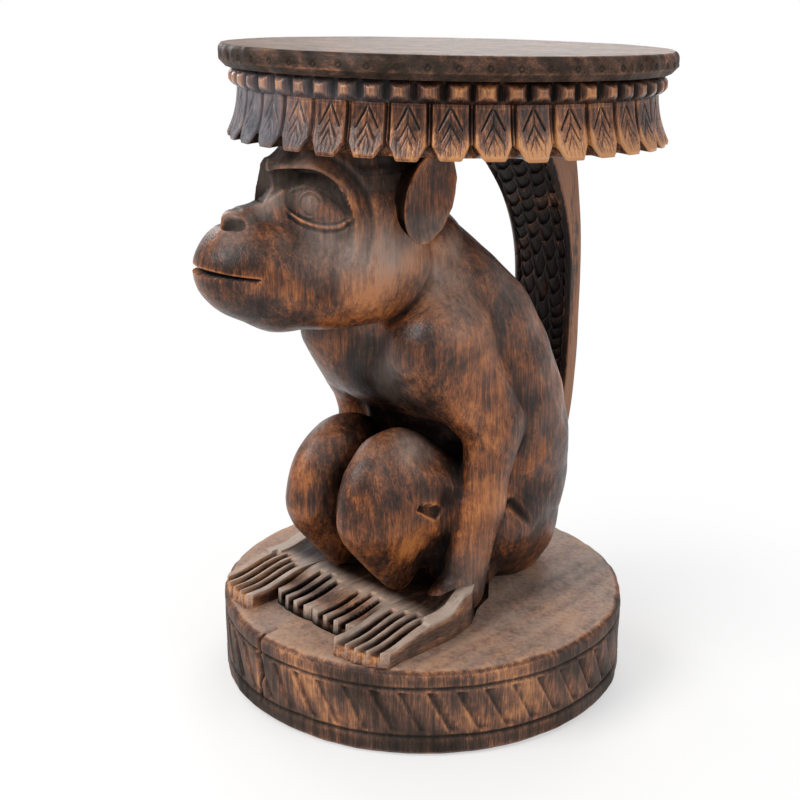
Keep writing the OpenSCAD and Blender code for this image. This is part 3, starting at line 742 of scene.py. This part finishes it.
# The iris is a flat disc with two rings cut by a round punch, seated on the swell of the eye
IRIS_R, IRIS_RISE, PUPIL_R = 10.4, 0.8, 7.4
IRIS_OUT, IRIS_ACROSS, IRIS_UP = 44, 49.3, 395.2
IRIS_SINK, IRIS_FRONT_ROW = 4.0, 12
outward = np.array([math.cos(EYE_TURN), -math.sin(EYE_TURN), 0.0])
forward = np.array([-math.sin(EYE_TURN), -math.cos(EYE_TURN), 0.0])
upward = np.array([0.0, 0.0, 1.0])
turn = round_turns(72)[:, None]
radius = np.concatenate([np.linspace(0.3, IRIS_R, IRIS_FRONT_ROW), np.linspace(IRIS_R, 0.3, 40)])
radius = radius[:, None]
plane = IRIS_OUT * outward + IRIS_ACROSS * forward + IRIS_UP * upward
plane = plane + radius[..., None] * (np.cos(turn) * forward + np.sin(turn) * upward)
reach = np.zeros(plane.shape[:2])
for _ in range(RAY_STEPS - 4):
    reach = reach - RAY_SHARE * head_field(plane + reach[..., None] * outward)
# The disc follows two thirds of the eye's swell
reach = np.median(reach) * 0.35 + reach * 0.65
relief = IRIS_RISE * (1 - smooth(IRIS_R - 1.2, IRIS_R, radius))
relief = relief - 1.1 * bump(radius, PUPIL_R, 0.7)
relief = relief + 0.5 * np.clip(1 - (radius / PUPIL_R) ** 2, 0, 1)
relief[:IRIS_FRONT_ROW] = -IRIS_SINK
iris = plane + (reach + relief)[..., None] * outward
for side_name, sign in SIDES:
    points = from_head(on_side(iris, sign))
    skin(f"{side_name}_iris", points, body_wood, "stained_wood", node="",
         wear=edge_wear(points, (1, 1.6, -1, 0.3)), warm=-0.4, dull=0.55)

# ---- Ears ----
# Thick oval ears stand off the skull, out of the same log, with a sheer edge all round. The outer
# face is dished a little with a gouge.
EAR_AT, EAR_SIZE = (65, 3.5, 401), (15, 20, 33.5)
EAR_FACE = ((21, 1, 1), (16, 30, 46))
EAR_TURN, EAR_LEAN = math.radians(8), math.radians(19)


def to_ear(p):
    """Points of the head's frame in the left ear's own."""
    x, y, z = np.moveaxis(p - EAR_AT, -1, 0)
    x, y = spin(x, y, -EAR_TURN)
    return np.stack([x, *spin(y, z, EAR_LEAN)], axis=-1)


def ear_field(p):
    """Left ear: an oval block leaning back, a little narrower inward, its outer face dished."""
    q = to_ear(p)
    ring = np.hypot(q[..., 1] / EAR_SIZE[1], q[..., 2] / EAR_SIZE[2])
    form = np.maximum((ring - 1) * EAR_SIZE[1] + 0.22 * (7 - q[..., 0]), -q[..., 0] - EAR_SIZE[0])
    return carve(form, ellipsoid(q, *EAR_FACE), 1.4) + 0.25 * hewn(p, 15)


EAR_SPINE = ((60, 4, 385), (60, 6, 396), (60, 9, 407), (60, 12, 418))
ear = cast(ear_field, EAR_SPINE, (1, 0, 0), 180, 200, (0.3, 0.3))
out, wear = lay(ear_field, ear, 1.2, 4)
# The ear's sheer wall is painted dark as shade; the dished face is more amber above and greyer below
wall = smooth(1.0, 3.5, ellipsoid(to_ear(ear), *EAR_FACE))
warm = 0.3 * smooth(385, 400, ear[..., 2]) - 0.2 - wall
dull = 0.6 * smooth(396, 380, ear[..., 2]) * (1 - wall)
for side_name, sign in SIDES:
    skin(f"{side_name}_ear", from_head(on_side(ear, sign)), body_wood, "stained_wood",
         from_head(on_side(out, sign), False),
         wear=0.5 * wear[:, ::sign], warm=warm[:, ::sign], dull=dull[:, ::sign])

# ---- Torso ----
# The hunched back, chest and neck are one swelling mass of the log; limbs are carved out of its
# sides, so the forms run into each other in front and part in a cut line behind.
TORSO_MID = ((0, 66, 118), (0, 66, 190), (0, 14, 280), (0, -22, 346))
TORSO_SIZE = ((74, 64, 70), (86, 78, 70), (96, 84, 62), (50, 50, 44))
HUMP = ((130, 170, 200, 225, 250, 275, 300, 318, 335, 350), (0, 4, 6, 6.5, 8, 8.5, 9.5, 10, 5, 0))
YOKE = ((-30, -20, 264), (43, 44, 43), (30, -20, 264), (43, 44, 43))
UPPER_ARM = ((50, -30, 286), (38, 45, 40), (73, 3, 222), (19, 30, 26))
FOREARM = ((73.5, 4.5, 212), (18, 25, 24), (71, -8, 156), (16, 21, 18))
WRIST = ((71, -8, 156), (16, 21, 18), (68, -24, 92), (16, 20, 16))
WRIST_FOOT = ((68, -34, 84), (17, 26, 17))
KNEE_AT, KNEE_SIZE, KNEE_TAPER = (30.5, -61, 154), (29.5, 54, 66), 0.45
THIGH = ((34.5, -47, 172), (27, 38, 37), (58, 34, 128), (25, 40, 36))
CREASE = ((81, 22, 151), (7, 7, 3.5), (90, 45, 123), (3, 3, 1.5))
KNEE_FLAT = ((45.2, -58, 208.9), (0.816, 0.047, 0.578))
VALLEY = ((72, -39, 196), (6, 6, 10), (70, -41, 100), (12, 12, 12))
CALF = ((33, -22, 127), (22, 27, 30), (44, 6, 98), (22, 34, 34))
NOTCH = ((60, -62, 164), (4, 4, 2), (66, -47, 157), (7, 7, 6))
SINK, SPARE = 0.25, 9.0


def to_head(p):
    """Points of the stool in the head's frame: moved to the neck's middle and turned back."""
    x, y, z = np.moveaxis(p - HEAD_AT, -1, 0)
    return np.stack([*spin(x, y, HEAD_TURN), z], axis=-1)


def torso_form(q):
    """Eight stations on a curve from rump to neck, swept as rods, the back pushed out behind by HUMP,
    with a level yoke of shoulders."""
    push = np.interp(q[..., 2], *HUMP) * smooth(-40, 20, q[..., 1])
    q = np.stack([q[..., 0], q[..., 1] - push, q[..., 2]], axis=-1)
    s = np.linspace(0, 1, 8)
    stations = list(zip(bezier(TORSO_MID, s), bezier(TORSO_SIZE, s)))
    form = rod(q, *YOKE)
    for low, high in zip(stations, stations[1:]):
        form = blend(form, rod(q, *low, *high), 7)
    return form


def arm_form(q):
    """Left arm: shoulder to elbow, elbow to mid forearm, on to the wrist, spreading on the hand."""
    form = blend(rod(q, *UPPER_ARM), rod(q, *FOREARM), 9)
    return blend(blend(form, rod(q, *WRIST), 9), ellipsoid(q, *WRIST_FOOT), 8)


def leg_form(q):
    """Left leg: an egg for the knee, whose girth shrinks below its middle, with thigh and calf running
    back to the hip, a flat pared on its top, a valley behind it and a small notch in the side."""
    low = KNEE_AT[2] - q[..., 2]
    girth = 1 - KNEE_TAPER * smooth(0, KNEE_SIZE[2], low)
    at = np.stack([KNEE_AT[0] + 0.05 * low, KNEE_AT[1] + 0.02 * low, KNEE_AT[2] + 0 * low], axis=-1)
    egg = (q - at) / np.stack([girth, girth, 1 + 0 * low], axis=-1)
    form = ellipsoid(egg, (0, 0, 0), KNEE_SIZE) * girth
    form = blend(blend(form, rod(q, *THIGH), 9), rod(q, *CALF), 8)
    form = np.maximum(form, (q - KNEE_FLAT[0]) @ np.array(KNEE_FLAT[1]))
    return carve(carve(form, rod(q, *VALLEY), 4), rod(q, *NOTCH), 1.0)


def body_forms(p):
    """Torso, arm and leg on both sides of the middle plane at once."""
    q = fold(p)
    return [torso_form(q), arm_form(q), leg_form(q)]


def body_field(p, forms=None):
    """The carved body: its forms run together softly at chest and hip and sharply behind the arm, with
    a knife cut under the jaw and a crease at the hip."""
    torso, arm, leg = forms or body_forms(p)
    y, z = p[..., 1], p[..., 2]
    form = blend(torso, leg, 4 + 8 * smooth(-10, 25, y))
    form = blend(form, arm, 5 + 9 * smooth(4, -24, y) * smooth(205, 235, z))
    head = fold(to_head(p))
    near_head = np.minimum(rod(head, *JAW), rod(head, *CHEEK))
    form = form + 2.2 * bump(near_head, 0, 4.0)
    return carve(form, rod(fold(p), *CREASE), 2.5) + 0.6 * hewn(p, 30) - 0.25


def own(which):
    """Field of one form of the body: the shared surface where the form is nearest, sinking away under
    its neighbours elsewhere."""
    def field(p):
        forms = body_forms(p)
        others = np.minimum(*(forms[k] for k in range(3) if k != which))
        shared = body_field(p, forms) + SINK * np.maximum(0, forms[which] - others)
        return np.maximum(shared, forms[which] - SPARE)
    return field


torso = cast(own(0), TORSO_MID, (1, 0, 0), 230, 250, (0.3, 0.2), BED)
out, wear = lay(body_field, torso)
skin("torso", torso, body_wood, "stained_wood", out, wear=wear, **shades(torso))

# ---- Legs ----
# Each folded leg is one egg of wood with the knee at its top, drawn up in front of the chest. A
# small notch in the outer side marks the fold behind the knee.
LEG_GAP = 0.3
LEG_SPINE = ((34, -74, 150), (34, -40, 148), (44, -5, 138), (56, 26, 126))


def left_half(field):
    """A field kept to the left of the middle plane by a hair."""
    return lambda p: np.maximum(field(p), LEG_GAP - p[..., 0])


def limbs(name, grid, field):
    """Both limbs of a pair, from the grid of the left one and the field that gives its directions."""
    out, wear = lay(field, grid)
    for side_name, sign in SIDES:
        points = on_side(grid, sign)
        skin(f"{side_name}_{name}", points, body_wood, "stained_wood", on_side(out, sign),
             wear=wear[:, ::sign], **shades(points))


leg = cast(left_half(own(2)), LEG_SPINE, (0, 0, 1), 200, 220, (0.3, 0.25), BED)
limbs("leg", leg, left_half(body_field))

# ---- Arms ----
# The arms hang straight from the shoulders to the base, outside the knees, part of the same log. The
# upper arm is round and the forearm narrows to a wrist that spreads on the hand.
ARM_SPINE = ((50, -30, 286), (80, 6, 245), (79, 6, 161), (70, -25, 92))
limbs("arm", cast(own(1), ARM_SPINE, (0, -1, 0), 200, 160, (0.2, 0.1), BASE_H + 2), body_field)

# ---- Crown block and tail ----
# A dark block of the log, stained black and painted darker as shade under the seat, is left between head
# and seat, and the broad tail rises behind the back like a strap to the seat's rear. Its inner face is
# roughed out with short gouge cuts, stained black.
LEAF_Z = 432.0
CROWN_W, CROWN_D, CROWN_BACK, CROWN_LOW = 52.0, 57.0, 18.0, 416
# Wood stained black and left dry, painted darker still as shade under the seat: matt, with brown only
# where an edge stands proud
BLACK_STAIN_AND_SHADE = ((0.0, "#080606"), (0.4, "#140d0a"), (0.62, "#241610"), (0.8, "#4a2c1c"), (0.97, "#8a5836"))
dark_wood = carved_wood("shadowed_hardwood_stained_black", BLACK_STAIN_AND_SHADE)

z = np.linspace(CROWN_LOW, LEAF_Z + 2.5, 24)[:, None]
turn = round_turns(160)
bulge = 1 - 1.2 / CROWN_W * smooth(CROWN_LOW + 2, CROWN_LOW + 8, z) + 0.012 * wander(turn * 9, z / 4)
crown = np.stack([CROWN_W * bulge * np.cos(turn), -CROWN_BACK + CROWN_D * bulge * np.sin(turn),
                  z + 0 * turn], axis=-1)
skin("crown_block", from_head(crown), dark_wood, "dark_wood", wear=0, warm=0, dull=0)

TAIL_W, TAIL_T, TAIL_BACK, TAIL_FLARE = 64.0, 14.0, 157.0, 53.0
TAIL_LOW = 124.0
TAIL_BOW, TAIL_LEAN = (24, 0.46), (17, 0.63, 1.7)
TAIL_FLARE_FROM, TAIL_FLARE_POWER = 0.56, 2.2


def tail_faces(z, x=0.0):
    """Inner and outer face of the tail as y at a height: a bow that leans in below and flares forward
    under the seat, more on its right side."""
    s = (z - TAIL_LOW) / (LEAF_Z - TAIL_LOW)
    depth, start, power = TAIL_LEAN
    outer = TAIL_BACK - TAIL_BOW[0] * np.maximum(0, 1 - s / TAIL_BOW[1]) ** 2
    outer = outer - depth * (np.maximum(0, s - start) / (1 - start)) ** power
    rise = np.maximum(0, s - TAIL_FLARE_FROM) / (1 - TAIL_FLARE_FROM)
    return outer - TAIL_T - TAIL_FLARE * (0.85 - 0.6 * x / TAIL_W) * rise ** TAIL_FLARE_POWER, outer


fine = np.linspace(TAIL_LOW, LEAF_Z + 1.5, 900)
inner, outer = tail_faces(fine)
run = np.concatenate([[0], np.cumsum(np.hypot(np.diff(fine), np.diff(inner)))])
climb = np.linspace(0, run[-1], 330)[:, None]
z = np.interp(climb, run, fine)
# Round the section, from the right back edge over the outer face, the left side and the inner face
half = TAIL_W / 2
outline = even([(-half, 0.84), (-half + 0.1, 1), (half - 0.1, 1), (half, 0.84), (half, 0.2),
                (half - 5.5, 0), (-half + 5.5, 0), (-half, 0.2), (-half, 0.84)],
               [0.3, 1.6, 0.3, 0.03, 1.0, 0.55, 1.0, 0.03])[:-1]
x, t = outline[:, 0] + 0 * z, outline[:, 1]
inner, outer = tail_faces(z, x)
# Gouge cuts lie in lanes along the inner face, each a tooth that starts deep and runs out
front = smooth(0.02, 0.0, t) * smooth(half - 4.5, half - 7, np.abs(x))
lane = x / 14 + 0.35 * np.sin(climb / 29)
column = np.floor(lane + 0.5)
bow = (lane - column) * 2
fall = climb / 13 + 0.37 * column - 0.3 * bow - 0.3 * bow ** 2 + 1.1 * wander(column * 3, climb / 24)
stroke = wander(column * 5.1, np.floor(fall) * 2.7)
cut = (1 - fall % 1) ** 1.4 * (2.6 + 1.6 * stroke) * (1 - smooth(0.75, 1, np.abs(bow))) + 0.4
groove = 1.2 * bump(np.abs(x), half - 8, 1.3) * smooth(0.02, 0.0, t)
y = inner + (outer - inner) * t + front * cut + groove
side = 0.35 * wander(z / 14, t * 9) + 0.25 * np.abs(np.sin(t * 16 + z / 60))
x = x * (1 - smooth(half - 3, half, np.abs(x)) * side / half)
points = np.stack([x, y, z + 0 * x], axis=-1)[:, ::-1]
sheer = smooth(half - 2, half - 0.4, np.abs(x))
rear = smooth(0.5, 0.9, t) * (1 - sheer)
warm = sheer * (1.25 + 0.4 * wander(t * 7, z / 26)) + rear * (0.45 + 0.4 * wander(x / 6, z / 50))
warm = warm - 0.1 + 0.8 * np.maximum(0, stroke) * front
skin("tail", points, dark_wood, "dark_wood",
     wear=edge_wear(points, (1, 1.5, -1, 1), (4, 1.8, -0.5, 0.5)),
     warm=warm[:, ::-1], dull=(0.25 * sheer + 0.1 * rear)[:, ::-1])

# ---- Leaf band ----
# A skirt of upright leaves under the seat, flared at the foot. Each is a flat shield with cut
# corners and veins struck with a V tool, and a thin fillet stands between two leaves.
SEAT_BACK = 25.0
LEAVES, LEAF_COLUMNS = 36, 48
LEAF_H, LEAF_TOP_R, LEAF_FOOT_R = 36.0, 159.0, 169.0
BAND_CORE_R = 60.0
LEAF_HALF = 14.5
SEAT_FALL = 0.0205
VEINS = ((0, 0.1, 0, 0.93, 0.7, 0.7), (0, 0.05, 0.56, 0.46, 1.2, 1.3),
         (0, 0.36, 0.42, 0.66, 0.9, 1.0), (0, 0.56, 0.3, 0.80, 0.7, 0.8),
         (0.5, 0.62, 0.42, 0.93, 0.5, 0.5), (0.25, 0.78, 0.2, 0.97, 0.5, 0.5))


def lean_seat(points):
    """The seat and its bands sit a little low on the monkey's left rear, as the log was cut."""
    drop = SEAT_FALL * (points[..., :1] + points[..., 1:2] - SEAT_BACK) / math.sqrt(2)
    return points - drop * (0, 0, 1)


def about(radius, turn, height):
    """Points at a radius and a turn about the seat's middle."""
    return np.stack([radius * np.cos(turn), radius * np.sin(turn) + SEAT_BACK, height], axis=-1)


def toward(turn, degrees, low, high=0.97):
    """1 where a turn is near a bearing, 0 away from it: a smooth step of the cosine between them."""
    return smooth(low, high, np.cos(turn - math.radians(degrees)))


turn = round_turns(LEAVES * LEAF_COLUMNS, 0.5)
leaf = np.arange(LEAVES * LEAF_COLUMNS) // LEAF_COLUMNS
# a runs from a leaf's middle to its side, b from the seat down to its tip
a = np.abs((np.arange(LEAF_COLUMNS) + 0.5) / LEAF_COLUMNS * 2 - 1)
b = np.linspace(0, 1, 42)[::-1, None]
foot = 1 - 0.24 * smooth(0.42, 0.92, a) - 0.03 * smooth(0.9, 0.94, a)
down = b * foot
face = LEAF_TOP_R + 1.5 * down + (LEAF_FOOT_R - LEAF_TOP_R - 1.5) * down ** 2.3
gap = smooth(0.84, 0.9, a) * (3.8 - 2.4 * smooth(0.93, 0.97, a))
vein = 0 * face
for a0, b0, a1, b1, deep, wide in VEINS:
    run_x, run_y = (a1 - a0) * LEAF_HALF, (b1 - b0) * LEAF_H
    x, y = (a - a0) * LEAF_HALF, (down - b0) * LEAF_H
    h = np.clip((x * run_x + y * run_y) / (run_x ** 2 + run_y ** 2), 0, 1)
    off = np.hypot(x - h * run_x, y - h * run_y)
    vein = np.maximum(vein, deep * np.maximum(0, 1 - off / (wide * (1.25 - 0.6 * h))))
lip = 1.8 * smooth(0.93, 1.0, b) + 0.9 * smooth(0.80, 0.86, a)
one_leaf = face - gap - 1.25 * vein - lip + 0.35 * (1 - a) * down
vary = chance.random((3, LEAVES))
rim = np.tile(one_leaf, LEAVES) + (0.9 * vary[0] - 0.5)[leaf] * np.tile(down, LEAVES)
height = LEAF_Z + LEAF_H - LEAF_H * np.tile(down, LEAVES) + (1.2 * vary[1] - 0.6)[leaf] * b ** 3
# Rows run from the middle of the underside out to the foot of the leaves, up them, and in again
level = 0 * turn[None]
top = level + LEAF_Z + LEAF_H
rim = np.concatenate([np.array([[BAND_CORE_R], [120], [140], [148]]) + level, (rim[:1] + 148) / 2,
                      rim[:1] - 1.2, rim, level + 150, level + BAND_CORE_R])
height = np.concatenate([np.array([[0], [0], [0], [0.2]]) + LEAF_Z + level,
                         (height[:1] + LEAF_Z) / 2 + 1.0, height[:1] + 0.15, height, top, top])
points = about(rim, turn, height)
low, above_foot = (np.pad(part, ((6, 2), (0, 0))) for part in (b, 1 - b))
# The same stained wood cut with a sharp knife, so its faces are smoother and catch more light; its grey
# is bluish, for painted sheen
band_wood = carved_wood("knife_cut_hardwood_stained_and_waxed", STAIN, grey="#7f7f86", shine=0.15)
# Leaves toward the monkey's right front are darker and take the bluish grey as painted sheen; leaf tips
# on its left side are amber
skin("leaf_band", lean_seat(points), band_wood, "band_wood",
     wear=edge_wear(points, (1, 2.2, -1.2, 1), (4, 2.2, -0.9, 0.5)),
     warm=1.1 * smooth(0.35, 0.95, low) * toward(turn, -8, math.cos(math.radians(70)), 1) - 0.1
     - 0.5 * toward(turn, -130, 0.6), dull=0.9 * toward(turn, -125, 0.6) * (above_foot > 0))

# ---- Bead band ----
# A row of square four-sided studs between the leaves and the seat, left standing by knife cuts across
# a plain band. Their tips are rubbed bright and the cuts between them are dark.
BEADS, BEAD_COLUMNS = 54, 24
BEAD_R, BEAD_ROOT_R, BEAD_H, BEAD_Z = 166.0, 159.0, 15.0, 468.0
turn = round_turns(BEADS * BEAD_COLUMNS, 0.5)
bead = np.arange(BEADS * BEAD_COLUMNS) // BEAD_COLUMNS
a = np.tile((np.arange(BEAD_COLUMNS) + 0.5) / BEAD_COLUMNS * 2 - 1, BEADS)
b = np.linspace(-1, 1, 26)[:, None]
vary = chance.random((3, BEADS))
a = a + (0.16 * vary[0] - 0.08)[bead]
square = (np.abs(a / 0.9) ** 8 + np.abs(b / 0.95) ** 8) ** (1 / 8)
stand = BEAD_R - BEAD_ROOT_R + (0.8 * vary[1] - 0.6)[bead]
rim = BEAD_ROOT_R + stand * np.clip(1.03 - square ** 1.7, 0, 0.93) ** 0.8
height = BEAD_Z + BEAD_H / 2 * (1 + b) + 0 * turn
ends = ((1, 1), (0, 0))
points = about(np.pad(rim, ends, constant_values=BAND_CORE_R), turn, np.pad(height, ends, "edge"))
# Beads toward the monkey's right front take the grey as painted sheen
skin("bead_band", lean_seat(points), band_wood, "band_wood",
     wear=edge_wear(points, (1, 1.6, -1, 0.6), (4, 1.6, -0.9, 0.3)),
     warm=1.1 * smooth(0.1, 0.8, np.pad(np.clip(1.0 - square, 0, 1), ends)) - 0.65,
     dull=0.5 * toward(turn, -118, 0.3, 0.9))

# ---- Seat ----
# The round seat: a plank-flat top worn grey, a rounded upper edge, knife flats round the rim with
# small punched rings, and a chamfer below.
SEAT_R, SEAT_T, SEAT_Z = 173.0, 17.0, 483.0
SEAT_ROUND, SEAT_CHAMFER = 6.0, 5.0
PUNCH_Z, PUNCH_R = 8.2, 1.6
SEAT_COLUMNS = 1080
arc = [(SEAT_R - SEAT_ROUND + SEAT_ROUND * math.sin(k), SEAT_T - SEAT_ROUND + SEAT_ROUND * math.cos(k))
       for k in np.linspace(math.pi / 2, 0, 7)]
outline = even([(6, 0), (SEAT_R - SEAT_CHAMFER, 0), (SEAT_R, SEAT_CHAMFER), *arc, (6, SEAT_T)],
               [50, 1.5, 0.9] + [0.8] * 6 + [5.0])
turn = round_turns(SEAT_COLUMNS)
r, z = outline[:, :1], outline[:, 1:]
rimward = smooth(SEAT_R - 12, SEAT_R - 3, r)
knife = 0.8 * np.abs(np.sin(turn * 27 + 0.5 * wander(turn * 8))) * toward(turn, -130, 0.4, 0.9)
flats = 0.8 * wander(turn * 23, z / 9) + 0.6 * wander(turn * 51, z / 5)
off = np.hypot(((turn * BEADS / math.tau) % 1 - 0.5) * math.tau / BEADS * SEAT_R, z - PUNCH_Z)
punch = 0.7 * bump(off, PUNCH_R, 0.8) * smooth(SEAT_R - 3, SEAT_R - 1, r)
radius = r + rimward * (flats - knife - 0.4) - punch
upper = smooth(SEAT_T - 1, SEAT_T - 0.1, z)
x, y = radius * np.cos(turn), radius * np.sin(turn)
height = z - upper * (0.25 + 0.25 * wander(x / 16, y / 30) + 0.5 * smooth(SEAT_R - 30, SEAT_R, r))
points = np.stack([x, y + SEAT_BACK, height + SEAT_Z], axis=-1)
# The same stained wood with its grain across the seat, where sitting has worn the top grey and dry
seat_wood = carved_wood("worn_seat_of_stained_hardwood", STAIN, (0.16, 1, 1), "#8c7868")
skin("seat_disc", lean_seat(points), seat_wood, "seat_wood",
     wear=edge_wear(points, (1, 2.4, -1, 1), (3, 2.6, -0.8, 0.7)),
     warm=0.1 * wander(x / 14, y / 40) - 0.2
     + rimward * (1 - upper) * (0.45 * wander(turn * 31, z / 4) - 0.5),
     dull=upper * (1.0 + 0.2 * wander(x / 22, y / 12)) + 0.15 * rimward * (1 - upper))
